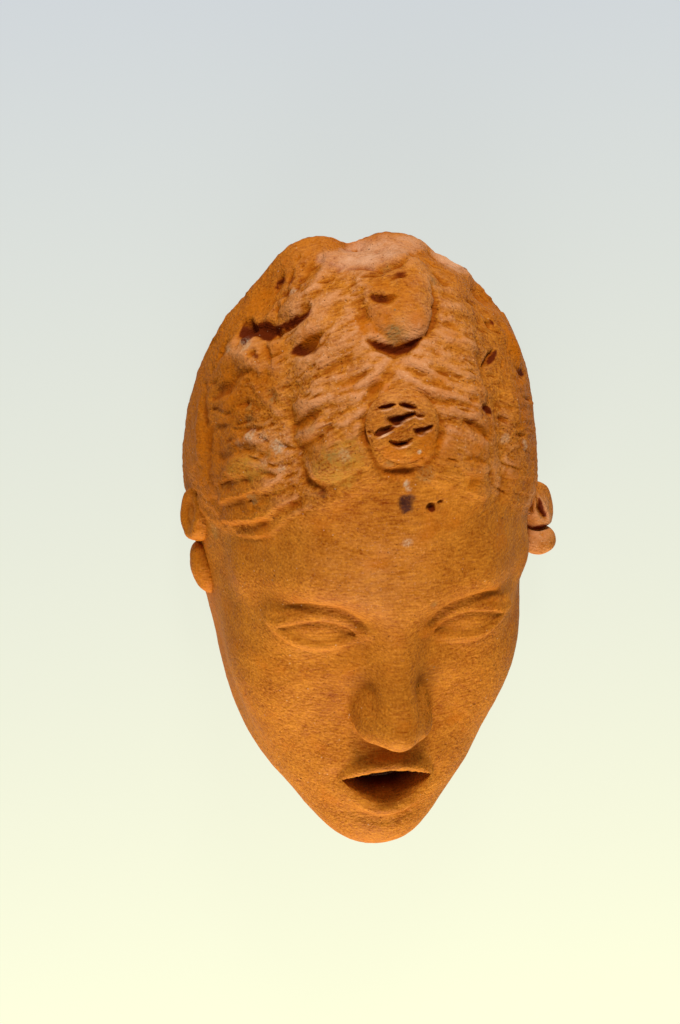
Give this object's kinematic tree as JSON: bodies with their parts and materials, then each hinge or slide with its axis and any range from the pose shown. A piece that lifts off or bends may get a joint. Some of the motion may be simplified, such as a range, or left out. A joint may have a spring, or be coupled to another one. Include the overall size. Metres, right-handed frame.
{
  "type": "terracotta theatre mask",
  "caption": "Small hollow terracotta mask lying on its open back, with a pierced mouth, parted hair, rosette, hair knot and earring beads.",
  "frame": {"origin": "middle of the mask's box in X and Y, on the surface that its flat back rim lies on", "axes": "+Z out of the face and up from the surface, +Y towards the crown, +X to the viewer's right"},
  "size_m": [0.0594, 0.0944, 0.0434],
  "materials": {
    "terracotta": "matte"
  },
  "bodies": {
    "root": {"mask": "terracotta"}
  },
  "joints": []
}
